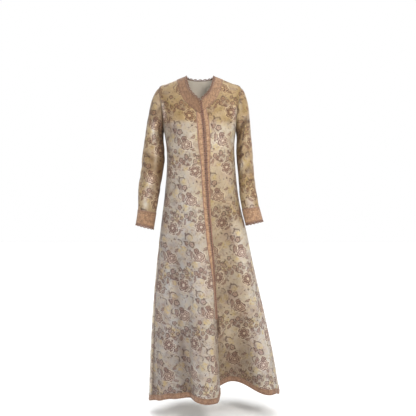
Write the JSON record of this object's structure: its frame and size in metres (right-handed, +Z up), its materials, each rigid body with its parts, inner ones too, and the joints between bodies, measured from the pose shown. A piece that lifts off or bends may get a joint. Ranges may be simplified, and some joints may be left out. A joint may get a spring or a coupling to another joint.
{
  "type": "moroccan kaftan",
  "caption": "Full-length front-opening kaftan in floral satin brocade, with woven braid at neck, front, cuffs and hem, and knotted buttons, in its hollow worn form.",
  "frame": {"origin": "between the two neck points, at the height of the top of the shoulder seams, where the wearer's shoulders carry the garment", "axes": "+Z up, -Y towards the garment's front, +X towards the wearer's left"},
  "size_m": [0.634, 0.3579, 1.4236],
  "materials": {
    "brocade": "satin brocade, cream with rose-brown flowers and gold-olive patches",
    "braid": "woven braid, rose-tan with a fine gold figure",
    "picot": "corded picot loops, brown",
    "buttons": "knotted silk cord, mauve-brown"
  },
  "bodies": {
    "root": {"front_right": "brocade", "front_left": "brocade", "back": "brocade", "sleeve_right": "brocade", "sleeve_left": "brocade", "neck_band_right": "braid", "neck_band_left": "braid", "neck_band_back": "braid", "front_band_right": "braid", "front_band_left": "braid", "hem_band_right": "braid", "hem_band_left": "braid", "hem_band_back": "braid", "cuff_right": "braid", "cuff_left": "braid", "neck_edging_right": "picot", "neck_edging_left": "picot", "neck_edging_back": "picot", "cuff_edging_right": "picot", "cuff_edging_left": "picot", "button_row": "buttons"}
  },
  "joints": []
}
